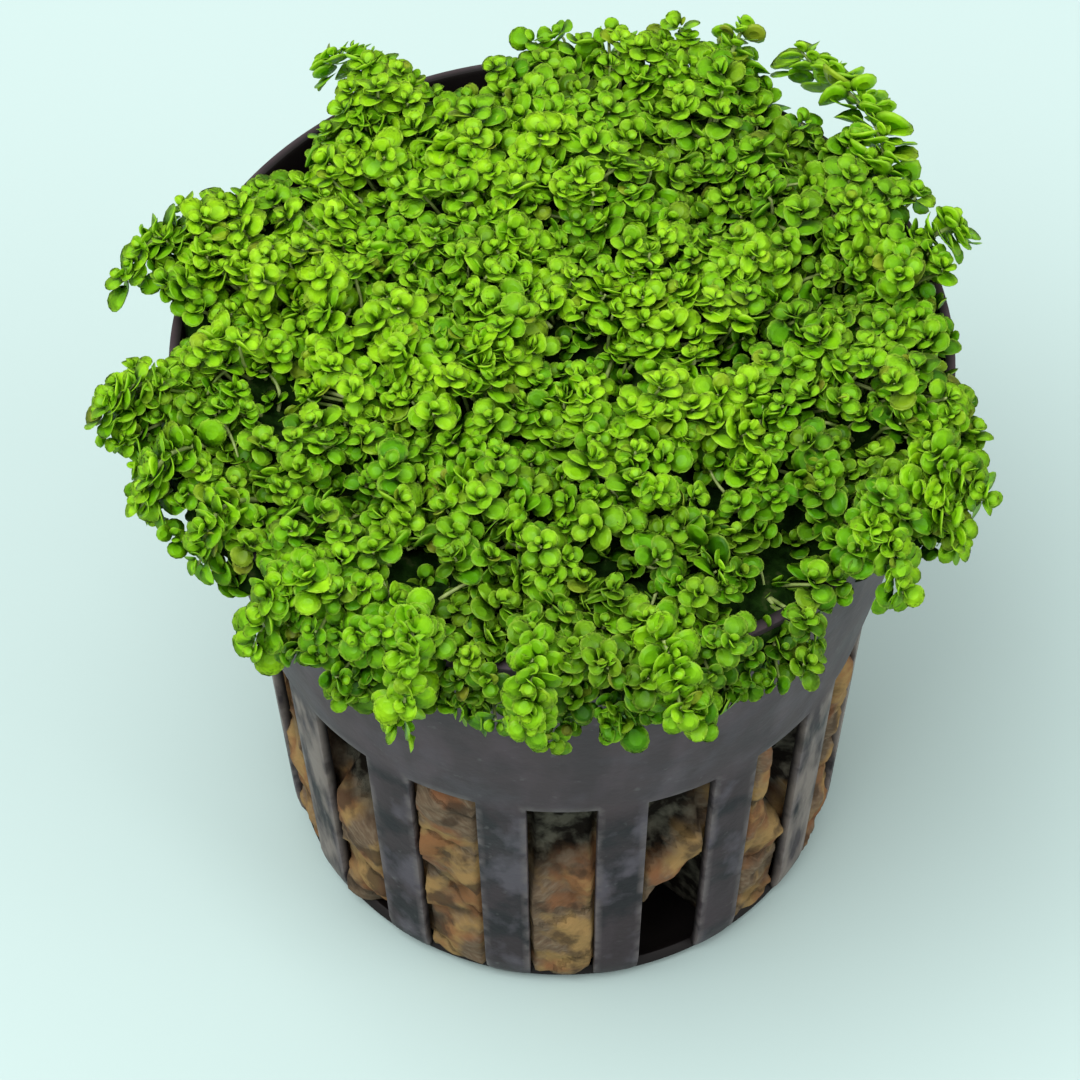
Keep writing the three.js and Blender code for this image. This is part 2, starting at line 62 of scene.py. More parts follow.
camera.matrix_world = Matrix.Translation(Vector((0, 0, rim_height)) + distance * toward_camera) @ aim
camera.data.sensor_width = sensor_width
camera.data.lens = sensor_width * focal_pixels / picture_size
camera.data.clip_start = 10 * MM
bpy.context.scene.camera = camera

# Studio. A pale blue-green floor under one broad soft lamp above the front left, a weaker one on
# the right and an even pale sky, shown in plain colours without a film curve.
floor_size = 6.0
floor_colour = (0.47, 0.6, 0.58, 1)
sky_strength = 0.82
lamp_target = Vector((0, 0, 40 * MM))
bpy.context.scene.view_settings.view_transform = "Standard"
bpy.ops.mesh.primitive_plane_add(size=floor_size)
floor = bpy.context.object
floor.name = "studio_floor"
floor_paint = bpy.data.materials.new("studio_floor_paint")
floor_paint.use_nodes = True
floor_shader = floor_paint.node_tree.nodes["Principled BSDF"]
floor_shader.inputs["Base Color"].default_value = floor_colour
floor_shader.inputs["Roughness"].default_value = 0.95
floor_shader.inputs["Specular IOR Level"].default_value = 0
floor.data.materials.append(floor_paint)
sky = bpy.data.worlds.new("studio_sky")
bpy.context.scene.world = sky
sky.use_nodes = True
sky.node_tree.nodes["Background"].inputs["Color"].default_value = (1, 1, 1, 1)
sky.node_tree.nodes["Background"].inputs["Strength"].default_value = sky_strength
# Each lamp's name, place, size in metres and power in watts.
for name, place, size, power in (
    ("key_lamp", (-0.3, -0.25, 0.95), 0.75, 9.4),
    ("side_lamp", (0.55, -0.25, 0.5), 0.4, 1.3),
):
    bpy.ops.object.light_add(type="AREA", location=place)
    lamp = bpy.context.object
    lamp.name = name
    lamp.data.size = size
    lamp.data.energy = power
    lamp.rotation_euler = (lamp_target - Vector(place)).to_track_quat("-Z", "Y").to_euler()

# Net pot. One thin-walled pot moulded in dark grey plastic: a flaring collar over sixteen slots,
# and a floor with wide holes. Handling has left it scuffed and dusty.
pot_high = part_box("net_pot")[1]
pot_flats = 32
rim_radius = pot_high[0] / math.cos(math.pi / pot_flats)
pot_height = pot_high[2]
pot_wall = 0.8 * MM
pot_edge_round = 0.14 * MM
shoulder_height = 26.2 * MM
shoulder_radius = 22.6 * MM
base_radius = 20.6 * MM
slot_count = 16
columns_per_slot = 12
slot_columns = 7
slot_foot = 0.9 * MM
slot_top = 26.0 * MM
slot_rows = 18
floor_hole_count = 6
floor_hole_width = 24
floor_hole_ring = (7.0 * MM, 15.5 * MM)
floor_level = 0.1 * MM
column_turn = 2 * math.pi / (slot_count * columns_per_slot)
half_slot = math.degrees(column_turn) * slot_columns / 2


def wall_radius(height):
    """Outside radius of the pot's wall at a height above its rounded corner."""
    if height < shoulder_height:
        return base_radius + (shoulder_radius - base_radius) * height / shoulder_height
    up = (height - shoulder_height) / (pot_height - shoulder_height)
    return shoulder_radius + (rim_radius - shoulder_radius) * up


def azimuth_of(point):
    """Degrees round the pot: 0 at the front, 90 on the right."""
    return math.degrees(math.atan2(point[0], -point[1]))


def degrees_off(azimuth, count):
    """Degrees from the nearest of count evenly spaced places, the first at the front."""
    room = 360 / count
    return abs((azimuth + room / 2) % room - room / 2)


def turn_between(azimuth, other):
    """Degrees from one azimuth to another the shorter way round."""
    return abs((azimuth - other + 180) % 360 - 180)


def share_between(value, low, high):
    """0 up to low, 1 from high on and even between them."""
    return min(1.0, max(0.0, (value - low) / (high - low)))


def select_where(piece, kind, wanted):
    """Picks the edges or faces of the piece in edit mode that are wanted, and no others."""
    bpy.ops.mesh.select_mode(type=kind)
    bpy.ops.mesh.select_all(action="DESELECT")
    edited = bmesh.from_edit_mesh(piece.data)
    for each in edited.edges if kind == "EDGE" else edited.faces:
        each.select = wanted(each)
    bmesh.update_edit_mesh(piece.data)


def apply_modifier(piece, kind, **settings):
    """A modifier put on the active piece and applied."""
    modifier = piece.modifiers.new(kind.lower(), kind)
    for setting, value in settings.items():
        setattr(modifier, setting, value)
    bpy.ops.object.modifier_apply(modifier=modifier.name)


# The outside of the pot as radius and height, out over its floor and up to its lip.
corner_top = 1.7 * MM
collar_heights = (27.2 * MM, 33 * MM, 39 * MM, 45 * MM)
lip_inset = 0.08 * MM
lip_round = 0.35 * MM
pot_profile = [
    (floor_hole_ring[1], 0.0),
    (base_radius - 2.4 * MM, 0.0),
    (base_radius - 1.2 * MM, 0.25 * MM),
    (base_radius - 0.4 * MM, slot_foot),
    (base_radius - 0.05 * MM, corner_top),
]
for row in range(1, slot_rows + 1):
    height = corner_top + (slot_top - corner_top) * row / slot_rows
    pot_profile.append((wall_radius(height), height))
for height in collar_heights:
    pot_profile.append((wall_radius(height), height))
pot_profile += [(rim_radius - lip_inset, pot_height - lip_round), (rim_radius, pot_height)]
bpy.ops.object.select_all(action="DESELECT")
bpy.ops.mesh.primitive_circle_add(
    vertices=slot_count * columns_per_slot,
    radius=floor_hole_ring[0],
    fill_type="TRIFAN",
    rotation=(0, 0, column_turn / 2),
)
pot = bpy.context.object
pot.name = "moulded_net_pot"
bpy.ops.object.transform_apply(location=False, rotation=True, scale=False)
bpy.ops.object.mode_set(mode="EDIT")
select_where(pot, "EDGE", lambda edge: edge.is_boundary)
last_radius, last_height = floor_hole_ring[0], 0.0
for radius, height in pot_profile:
    bpy.ops.mesh.extrude_edges_move(TRANSFORM_OT_translate={"value": (0, 0, height - last_height)})
    growth = radius / last_radius
    bpy.ops.transform.resize(value=(growth, growth, 1), center_override=(0, 0, 0))
    last_radius, last_height = radius, height


def is_opening(face):
    """Whether a face of the plain pot lies in a slot or in a hole of its floor."""
    middle = face.calc_center_median()
    from_axis = math.hypot(middle.x, middle.y)
    if slot_foot < middle.z < slot_top:
        return degrees_off(azimuth_of(middle), slot_count) < half_slot
    in_ring = middle.z < floor_level and floor_hole_ring[0] < from_axis < floor_hole_ring[1]
    return in_ring and degrees_off(azimuth_of(middle), floor_hole_count) < floor_hole_width / 2


select_where(pot, "FACE", is_opening)
bpy.ops.mesh.delete(type="FACE")
bpy.ops.mesh.select_all(action="SELECT")
bpy.ops.mesh.normals_make_consistent(inside=False)
shell = bmesh.from_edit_mesh(pot.data)
if min(shell.faces, key=lambda face: face.calc_center_median().length).normal.z > 0:
    bpy.ops.mesh.flip_normals()
bpy.ops.object.mode_set(mode="OBJECT")
apply_modifier(pot, "SOLIDIFY", thickness=pot_wall, offset=-1, use_even_offset=True)
apply_modifier(pot, "BEVEL", width=pot_edge_round, segments=2, angle_limit=math.radians(40))
bpy.ops.object.shade_smooth_by_angle(angle=math.radians(35))
# Tones painted on the pot: edges rubbed pale, bars painted darker than the collar, the inside
# painted near black as painted shade, and fibres dried on, which start beside the front, cover the
# sides and thin out toward the back.
rubbed_reach = 0.35 * MM
collar_bar_tone = 0.3
collar_fibrous = 0.12
fibres_begin = (36, 54)
fibres_thin = (75, 100)
fibres_lost = 0.7
pot_tones = ("rubbed_edge", "bar_tone", "inside", "fibrous")
for tone in pot_tones:
    pot.data.attributes.new(tone, "FLOAT", "POINT")
rubbed, bar_tone, inside, fibrous = (pot.data.attributes[tone] for tone in pot_tones)
for vertex in pot.data.vertices:
    height = vertex.co.z
    from_axis = math.hypot(vertex.co.x, vertex.co.y)
    # The bars take the full tone and the collar less; by it the bars are painted darker than the collar.
    bar_tone.data[vertex.index].value = 1.0 if height < slot_top else collar_bar_tone
    # The inside of the wall is marked here for painted shade.
    behind_wall = wall_radius(height) - from_axis > 0.6 * pot_wall
    inside.data[vertex.index].value = 1.0 if behind_wall and height > 0.5 * pot_wall else 0.0
    turned = turn_between(azimuth_of(vertex.co), 0)
    fibres = share_between(turned, *fibres_begin) * (1 - fibres_lost * share_between(turned, *fibres_thin))
    fibrous.data[vertex.index].value = fibres * (1.0 if height < slot_top else collar_fibrous)
    off_edge = degrees_off(azimuth_of(vertex.co), slot_count) - half_slot
    beside = abs(math.radians(off_edge)) * from_axis
    above = abs(height - slot_top) if off_edge < 0 else 1.0
    near = min(beside, above) if slot_foot < height < slot_top + 0.5 * MM else 1.0
    rubbed.data[vertex.index].value = math.exp(-((near / rubbed_reach) ** 2))


def new_material(name, **sockets):
    """A material with the given Principled sockets set, its nodes and its links."""
    material = bpy.data.materials.new(name)
    material.use_nodes = True
    shader = material.node_tree.nodes["Principled BSDF"]
    for socket, value in sockets.items():
        shader.inputs[socket.replace("_", " ")].default_value = value
    return material, material.node_tree.nodes, material.node_tree.links


def add_attribute(nodes, name, output="Fac"):
    """A value painted on the mesh."""
    attribute = nodes.new("ShaderNodeAttribute")
    attribute.attribute_name = name
    return attribute.outputs[output]


def add_noise(nodes, links, scale, stretch=(1, 1, 1), detail=6.0, place=None):
    """Noise in repeats per metre, stretched along each axis, on Object coordinates or on place."""
    mapping = nodes.new("ShaderNodeMapping")
    mapping.inputs["Scale"].default_value = stretch
    texture = nodes.new("ShaderNodeTexNoise")
    texture.inputs["Scale"].default_value = scale
    texture.inputs["Detail"].default_value = detail
    links.new(place or nodes.new("ShaderNodeTexCoord").outputs["Object"], mapping.inputs["Vector"])
    links.new(mapping.outputs["Vector"], texture.inputs["Vector"])
    return texture.outputs["Fac"]


def add_ramp(nodes, links, factor, *stops):
    """A ramp of (place, colour or grey) stops on a factor."""
    ramp = nodes.new("ShaderNodeValToRGB")
    while len(ramp.color_ramp.elements) < len(stops):
        ramp.color_ramp.elements.new(0.5)
    for element, (place, colour) in zip(ramp.color_ramp.elements, stops):
        element.position = place
        element.color = (*colour, 1) if isinstance(colour, tuple) else (colour, colour, colour, 1)
    links.new(factor, ramp.inputs["Fac"])
    return ramp.outputs["Color"]


def add_mix(nodes, links, factor, first, second, blend="MIX"):
    """One colour blended over another; factor is a number or a socket."""
    mix = nodes.new("ShaderNodeMix")
    mix.data_type = "RGBA"
    mix.blend_type = blend
    if isinstance(factor, float):
        mix.inputs["Factor"].default_value = factor
    else:
        links.new(factor, mix.inputs["Factor"])
    for place, value in (("A_Color", first), ("B_Color", second)):
        socket = next(each for each in mix.inputs if each.identifier == place)
        if isinstance(value, tuple):
            socket.default_value = (*value, 1)
        else:
            links.new(value, socket)
    return next(each for each in mix.outputs if each.identifier == "Result_Color")


def add_patches(nodes, links, under, colour, pattern, *stops, within=None):
    """One colour laid over another by a pattern's ramp, within a painted tone if one is given."""
    share = add_ramp(nodes, links, pattern, *stops)
    if within:
        share = add_mix(nodes, links, 1.0, share, add_attribute(nodes, within), blend="MULTIPLY")
    return add_mix(nodes, links, share, under, colour)


def add_bump(nodes, links, height, depth):
    """A bump of a real depth in metres into the shader's normal."""
    bump = nodes.new("ShaderNodeBump")
    bump.inputs["Distance"].default_value = depth
    links.new(height, bump.inputs["Height"])
    links.new(bump.outputs["Normal"], nodes["Principled BSDF"].inputs["Normal"])


plastic, nodes, links = new_material("scuffed_pot_plastic", Specular_IOR_Level=0.2)
cloudy = add_noise(nodes, links, 110, detail=4)
grey = add_ramp(
    nodes,
    links,
    cloudy,
    (0.35, (0.033, 0.019, 0.024)),
    (0.5, (0.044, 0.029, 0.034)),
    (0.7, (0.056, 0.04, 0.044)),
)
streaks = add_noise(nodes, links, 330, stretch=(1, 1, 0.15))
grey = add_patches(nodes, links, grey, (0.085, 0.06, 0.072), streaks, (0.5, 0.0), (0.66, 0.5))
# The bars below the collar are painted darker than the collar.
bar_darkening = add_attribute(nodes, "bar_tone")
grey = add_patches(nodes, links, grey, (0.01, 0.006, 0.008), bar_darkening, (0.3, 0.0), (1.0, 0.42))
smudges = add_noise(nodes, links, 260, detail=8)
smudged = ((0.38, 0.9), (0.52, 0.0))
grey = add_patches(nodes, links, grey, (0.009, 0.008, 0.011), smudges, *smudged, within="bar_tone")
scuffs = add_noise(nodes, links, 300, stretch=(1, 1, 0.7), detail=5)
scuffed = ((0.52, 0.0), (0.64, 0.85))
grey = add_patches(nodes, links, grey, (0.082, 0.07, 0.086), scuffs, *scuffed, within="bar_tone")
dust = add_noise(nodes, links, 1000, detail=3)
grey = add_patches(nodes, links, grey, (0.13, 0.128, 0.125), dust, (0.66, 0.0), (0.8, 0.5))
worn = add_ramp(nodes, links, add_attribute(nodes, "rubbed_edge"), (0.2, 0.0), (1.0, 1.0))
patchy = add_ramp(nodes, links, add_noise(nodes, links, 700, detail=7), (0.4, 0.05), (0.6, 1.0))
worn = add_mix(nodes, links, 1.0, worn, patchy, blend="MULTIPLY")
grey = add_mix(nodes, links, worn, grey, (0.12, 0.1, 0.1))
dried = add_noise(nodes, links, 650, stretch=(1, 1, 0.3), detail=9)
dried_on = ((0.4, 0.0), (0.6, 0.9))
grey = add_patches(nodes, links, grey, (0.2, 0.165, 0.145), dried, *dried_on, within="fibrous")
# Painted shade: the inside of the pot is painted near black.
grey = add_mix(nodes, links, add_attribute(nodes, "inside"), grey, (0.008, 0.006, 0.006))
links.new(grey, nodes["Principled BSDF"].inputs["Base Color"])
gloss = add_ramp(nodes, links, cloudy, (0.3, 0.45), (0.7, 0.65))
links.new(gloss, nodes["Principled BSDF"].inputs["Roughness"])
add_bump(nodes, links, add_noise(nodes, links, 1400), 0.04 * MM)
pot.data.materials.append(plastic)
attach(pot, "root")
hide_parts("net_pot")

# Rockwool plug. A slab of golden-brown mineral wool, rolled up and pushed into the pot while
# damp. It swells into the slots, and slanting creases part its folded layers; the creases, its
# hollows and the dips in its fluff are painted dark as painted shade.
wool_low, wool_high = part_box("rockwool_plug")
wool_columns = 2 * slot_count * columns_per_slot
wool_rows = 96
wool_room = 0.25 * MM
wool_swell = 0.8 * MM
swell_side_room = 0.9
swell_top_room = 0.8 * MM
wool_skirt_height = 1.2 * MM
wool_skirt_depth = 0.5 * MM
# The layers dip to four places round the plug and rise between them.
dips = 4
first_dip = -11.25
layer_start = 14.5 * MM
layer_height = 7.4 * MM
layer_slant = 0.8
layer_wander = 0.4
crease_depth = 0.9 * MM
crease_sharpness = 0.4
crease_share = 0.45
crease_variation = 1.3
fluff_depth = 0.75 * MM
fluff_limits = (-0.7, 0.45)
# Places where the wool stands back: azimuth, half width, lowest and highest layer, and depth. At
# the dark depth they are painted as dark as a crease, as painted shade.
dark_depth = 2.6 * MM
hollow_side_softness = 1.2
hollow_end_softness = 0.12
wool_hollows = (
    (24, 10, -9, -2.0, 6 * MM),
    (22, 8, -0.85, 9, 2.6 * MM),
    (0, 10, -0.12, 9, 2.4 * MM),
    (5, 2.5, -9, -2.55, 2 * MM),
    (-27, 3, -9, -2.6, 1.5 * MM),
    (-49, 11, -0.95, 9, 4 * MM),
    (-41, 3.5, -9, -2.7, 2.5 * MM),
    (-72, 9, -0.6, 9, 3 * MM),
    (56, 10, -1.2, 9, 4 * MM),
    (150, 10, -3.0, -1.0, 4 * MM),
    (205, 8, -0.5, 9, 4 * MM),
)
seam_azimuth = 168.75
bpy.ops.object.select_all(action="DESELECT")
bpy.ops.mesh.primitive_cylinder_add(
    vertices=wool_columns,
    radius=base_radius,
    depth=wool_high.z - wool_low.z,
    location=(0, 0, (wool_low.z + wool_high.z) / 2),
    end_fill_type="TRIFAN",
)
wool = bpy.context.object
wool.name = "folded_rockwool"
bpy.ops.object.transform_apply(location=True, rotation=False, scale=False)
bpy.ops.object.mode_set(mode="EDIT")
select_where(wool, "EDGE", lambda edge: abs(edge.verts[0].co.z - edge.verts[1].co.z) > 1 * MM)
bpy.ops.mesh.subdivide(number_cuts=wool_rows - 1)
bpy.ops.object.mode_set(mode="OBJECT")


def soft_step(distance, softness):
    """0 well below a distance of 0 and 1 well above it."""
    return 1 / (1 + math.exp(-max(-60.0, min(60.0, distance / softness))))


wool.data.attributes.new("crease", "FLOAT", "POINT")
wool.data.attributes.new("grain", "FLOAT_VECTOR", "POINT")
painted_crease_shade, grain = wool.data.attributes["crease"], wool.data.attributes["grain"]
for vertex in wool.data.vertices:
    height = vertex.co.z
    azimuth = azimuth_of(vertex.co)
    along = math.radians((azimuth - seam_azimuth) % 360) * base_radius
    rise = layer_slant * math.radians(degrees_off(azimuth - first_dip, dips)) * base_radius
    layer = (height - rise - layer_start) / layer_height + layer_wander * noise.noise(vertex.co * 110)
    pressed = crease_share + crease_variation * noise.noise(vertex.co * 90 + Vector((5, 0, 0)))
    crease = max(0.05, min(1.0, pressed)) * (1 - abs(math.sin(math.pi * layer)) ** crease_sharpness)
    grain.data[vertex.index].vector = (along, height - rise, 0.02 * math.floor(layer))
    in_slot = share_between(half_slot - degrees_off(azimuth, slot_count), 0, swell_side_room)
    swell = wool_swell * in_slot * soft_step(slot_top - swell_top_room - height, 0.15 * MM)
    hollow = 0.0
    for at, half_width, lowest, highest, depth in wool_hollows:
        across = soft_step(half_width - turn_between(azimuth, at), hollow_side_softness)
        above = soft_step(layer - lowest, hollow_end_softness)
        below = soft_step(highest - layer, hollow_end_softness)
        hollow = max(hollow, depth * across * above * below)
    skirt = wool_skirt_depth * max(0.0, 1 - (height - wool_low.z) / wool_skirt_height) ** 2
    fluff = noise.fractal(vertex.co * 230, 0.8, 2.0, 6)
    fluff = max(fluff_limits[0], min(fluff_limits[1], fluff)) * fluff_depth
    # Painted shade: creases, hollows and dips in the fluff are painted darker.
    darkness = 0.75 * crease + hollow / dark_depth - min(0.0, fluff) / MM
    painted_crease_shade.data[vertex.index].value = min(1.0, darkness)
    if math.hypot(vertex.co.x, vertex.co.y) < base_radius / 2:
        continue
    radius = wall_radius(height) - pot_wall - wool_room
    radius += swell - crease_depth * crease - hollow - skirt + fluff
    direction = Vector((vertex.co.x, vertex.co.y, 0)).normalized()
    vertex.co = direction * radius + Vector((0, 0, height))
wool.data.polygons.foreach_set("use_smooth", [True] * len(wool.data.polygons))
wool_fibre, nodes, links = new_material("golden_mineral_wool", Roughness=0.95, Specular_IOR_Level=0.1)
strands = add_attribute(nodes, "grain", "Vector")
fibres = add_noise(nodes, links, 1500, stretch=(1, 1.7, 1), detail=6, place=strands)
coat = add_ramp(
    nodes,
    links,
    fibres,
    (0.3, (0.105, 0.07, 0.045)),
    (0.5, (0.14, 0.095, 0.06)),
    (0.7, (0.185, 0.14, 0.095)),
)
golden = add_noise(nodes, links, 230, detail=4)
coat = add_patches(nodes, links, coat, (0.3, 0.185, 0.07), golden, (0.45, 0.0), (0.57, 0.9))
rusty = add_noise(nodes, links, 250, detail=4)
coat = add_patches(nodes, links, coat, (0.2, 0.085, 0.038), rusty, (0.5, 0.0), (0.6, 0.8))
sooty = add_noise(nodes, links, 340, detail=6)
coat = add_patches(nodes, links, coat, (0.045, 0.03, 0.02), sooty, (0.38, 0.75), (0.47, 0.0))
flecks = add_noise(nodes, links, 650, detail=6)
# Painted shade of creases, hollows and dips: the coat is mixed toward dark shaded fibres.
shaded = add_ramp(nodes, links, flecks, (0.46, (0.008, 0.006, 0.004)), (0.64, (0.085, 0.08, 0.06)))
folded = add_ramp(nodes, links, add_attribute(nodes, "crease"), (0.15, 0.0), (0.9, 1.0))
coat = add_mix(nodes, links, folded, coat, shaded)
links.new(coat, nodes["Principled BSDF"].inputs["Base Color"])
add_bump(nodes, links, fibres, 0.1 * MM)
wool.data.materials.append(wool_fibre)
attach(wool, "root")
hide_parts("rockwool_plug")

# Mat of shoots. The plant's stems creep over each other and end in rosettes of small, round,
# cupped leaves. New leaves are lime and face the light, and older ones lie deeper, painted darker
# both for their age and as painted shade under the leaves above.
random = np.random.RandomState(7)
leaf_points = 12
leaf_length = 1.6 * MM
leaf_width = 1.06
leaf_cup = 0.1
leaf_inset = 0.12
leaf_dish = 0.05
leaf_bulge = 0.02
leaf_thickness = 0.13
# How leaves differ: widths and depths as shares of the plain leaf's, curl, and how few turn olive.
leaf_widths = (0.88, 1.06)
leaf_depths = (0.4, 1.5)
leaf_curl = 0.3
olive_rarity = 16
# From the lowest pair of a rosette's leaves to the one at its tip: the pair's rise in radians, its
# size, and the length of its stalks and its height as shares of the rosette's size.
pair_rise = (-0.28, -0.04, 0.16, 0.4, 0.8)
pair_size = (1.0, 1.04, 0.94, 0.74, 0.5)
pair_stalk = (0.3, 0.24, 0.14, 0.08, 0.04)
pair_height = (-0.4, -0.16, 0.02, 0.14, 0.22)
pair_youth = 0.12
# How far each leaf strays from that.
turn_stray = 0.3
rise_stray = 0.2
face_stray = 0.2
shade_stray = 0.1
length_stray = (0.78, 1.12)
bpy.ops.object.select_all(action="DESELECT")
bpy.ops.mesh.primitive_circle_add(
    vertices=leaf_points,
    radius=0.5,
    fill_type="NGON",
    location=(0.5, 0, 0),
)
leaf = bpy.context.object
bpy.ops.object.transform_apply(location=True, rotation=False, scale=False)
bpy.ops.object.mode_set(mode="EDIT")
bpy.ops.transform.resize(value=(1, leaf_width, 1), center_override=(0.5, 0, 0))
bpy.ops.mesh.inset(thickness=leaf_inset)
bpy.ops.transform.translate(value=(leaf_bulge, 0, -leaf_dish))
bpy.ops.mesh.poke(offset=-0.03)
select_where(leaf, "EDGE", lambda edge: edge.is_boundary)
bpy.ops.mesh.edge_face_add()
bpy.ops.mesh.poke(offset=0.0)
bpy.ops.mesh.select_all(action="SELECT")
bpy.ops.mesh.quads_convert_to_tris()
bpy.ops.mesh.normals_make_consistent(inside=False)
bpy.ops.object.mode_set(mode="OBJECT")
leaf_corners = np.array([tuple(vertex.co) for vertex in leaf.data.vertices])
leaf_faces = np.array([tuple(face.vertices) for face in leaf.data.polygons])
leaf_rim = (leaf_corners - (0.5 + leaf_bulge, 0, 0)) / (0.5, 0.5 * leaf_width, 1)
leaf_rim = np.linalg.norm(leaf_rim, axis=1).clip(0, 1)
underside = (np.abs(leaf_corners[:, 2]) < 1e-6) & (leaf_rim < 0.5)
leaf_corners[:, 2] += leaf_cup * (2 * leaf_corners[:, 1]) ** 2
leaf_corners[:, 2] += leaf_cup * 0.5 * (leaf_corners[:, 0] - 0.4) ** 2
leaf_corners[underside, 2] -= leaf_thickness
bpy.data.objects.remove(leaf)


def unit(vectors):
    """Vectors of length 1."""
    return vectors / np.maximum(np.linalg.norm(vectors, axis=-1, keepdims=True), 1e-12)


def smooth_piece(name, points, faces):
    """A new smooth-shaded object in the scene."""
    mesh = bpy.data.meshes.new(name)
    mesh.from_pydata(points, [], faces)
    mesh.polygons.foreach_set("use_smooth", [True] * len(faces))
    made = bpy.data.objects.new(name, mesh)
    bpy.context.scene.collection.objects.link(made)
    return made


def leaves_object(name, leaves):
    """One mesh of many closed leaves, each (base, direction, face, length, shade, youth)."""
    base, along, face = (np.array([leaf[k] for leaf in leaves]) for k in range(3))
    length, shade, youth = (np.array([leaf[k] for leaf in leaves]) for k in range(3, 6))
    along = unit(along)
    side = unit(np.cross(face, along))
    axes = np.stack([along, side, np.cross(along, side)], 1) * length[:, None, None]
    axes[:, 1] *= random.uniform(*leaf_widths, (len(leaves), 1))
    axes[:, 2] *= random.uniform(*leaf_depths, (len(leaves), 1))
    curl, twist = leaf_curl * random.normal(size=(2, len(leaves), 1))
    blades = np.repeat(leaf_corners[None], len(leaves), 0)
    blades[:, :, 2] += curl * (blades[:, :, 0] - 0.5) ** 2 + twist * blades[:, :, 0] * blades[:, :, 1]
    points = base[:, None] + blades @ axes
    faces = leaf_faces[None] + len(leaf_corners) * np.arange(len(leaves))[:, None, None]
    made = smooth_piece(name, points.reshape(-1, 3).tolist(), faces.reshape(-1, 3).tolist())
    aged = random.uniform(0, 1, len(leaves)) ** olive_rarity
    for tone, values in (
        ("shade", np.repeat(shade, len(leaf_corners))),
        ("youth", np.repeat(youth, len(leaf_corners))),
        ("age", np.repeat(aged, len(leaf_corners))),
        ("margin", np.tile(leaf_rim, len(leaves))),
        ("along_leaf", np.tile(leaf_corners[:, 0], len(leaves))),
    ):
        painted = made.data.attributes.new(tone, "FLOAT", "POINT")
        painted.data.foreach_set("value", values.clip(0, 1))
    return made


def rosette(middle, axis, pairs, size, shade, youth):
    """Crossed pairs of leaves round a shoot's tip, the lowest pair the largest and flattest."""
    sideways = unit(np.cross(axis, unit(random.normal(size=3))))
    forward = np.cross(axis, sideways)
    start = random.uniform(0, math.pi)
    made = []
    for pair in range(len(pair_size) - pairs, len(pair_size)):
        for half in range(2):
            turn = start + pair * math.pi / 2 + half * math.pi + random.normal() * turn_stray
            out = math.cos(turn) * sideways + math.sin(turn) * forward
            rise = pair_rise[pair] + random.normal() * rise_stray
            base = middle + axis * size * pair_height[pair] + out * size * pair_stalk[pair]
            along = math.cos(rise) * out + math.sin(rise) * axis
            face = math.cos(rise) * axis - math.sin(rise) * out + face_stray * random.normal(size=3)
            length = size * pair_size[pair] * random.uniform(*length_stray)
            leaf_shade = shade + random.normal() * shade_stray
            made.append((base, along, face, length, leaf_shade, youth + pair_youth * pair))
    return made


# The rosettes stand on a skin that follows the frame's cushion with its tufts smoothed out. The
# skin covers the top and what hangs over the rim, and the cushion's own outline bounds the leaves.
skin_cell = 0.7 * MM
skin_smoothing = 9
skin = bpy.data.objects.new("mat_undergrowth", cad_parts["leaf_cushion"].data.copy())
bpy.context.scene.collection.objects.link(skin)
bpy.ops.object.select_all(action="DESELECT")
skin.select_set(True)
bpy.context.view_layer.objects.active = skin
bpy.ops.object.mode_set(mode="EDIT")
bpy.ops.mesh.select_all(action="SELECT")
bpy.ops.mesh.remove_doubles(threshold=0.001 * MM)
bpy.ops.object.mode_set(mode="OBJECT")
apply_modifier(skin, "REMESH", mode="VOXEL", voxel_size=skin_cell)
edge_step = 3
edge_reach = [0.0] * (360 // edge_step)
for vertex in skin.data.vertices:
    sector = int(azimuth_of(vertex.co) % 360 // edge_step)
    edge_reach[sector] = max(edge_reach[sector], math.hypot(vertex.co.x, vertex.co.y))
apply_modifier(skin, "SMOOTH", factor=0.5, iterations=skin_smoothing)
skin_middles = np.array([tuple(face.center) for face in skin.data.polygons])
skin_normals = np.array([tuple(face.normal) for face in skin.data.polygons])
skin_radius = np.hypot(skin_middles[:, 0], skin_middles[:, 1])
outward = (skin_middles[:, :2] * skin_normals[:, :2]).sum(1) / skin_radius
on_top = skin_normals[:, 2] > 0.3
over_rim = (skin_radius > rim_radius + 0.4 * MM) & (outward > -0.1)
over_rim &= skin_normals[:, 2] > -0.55
open_skin = np.flatnonzero(on_top | over_rim)


def spread_out(spacing):
    """Faces of the open skin whose middles keep a distance from each other."""
    places = np.empty((0, 3))
    picked = []
    for i in random.permutation(open_skin):
        if len(picked) == 0 or np.linalg.norm(places - skin_middles[i], axis=1).min() > spacing:
            places = np.vstack([places, skin_middles[i]])
            picked.append(i)
    return picked


# Notches in the mat's edge: azimuth, half width and depth, and the room left at the edge and along
# the pot's wall.
notches = (
    (52.5, 4.5, 2.0 * MM),
    (88, 10, 1.5 * MM),
    (140, 6, 2.0 * MM),
    (197, 12, 1.9 * MM),
    (234, 8, 1.6 * MM),
    (268, 6, 3.2 * MM),
    (305.5, 3.5, 2.0 * MM),
    (315, 5, 3.2 * MM),
)
edge_room = 0.1 * MM
wall_room = 0.15 * MM


def mat_edge(azimuth):
    """How far out the mat's leaves may reach."""
    reach = edge_reach[int(azimuth % 360 // edge_step)] + edge_room
    for at, half_width, depth in notches:
        reach -= depth * math.exp(-((turn_between(azimuth, at) / half_width) ** 4))
    return reach


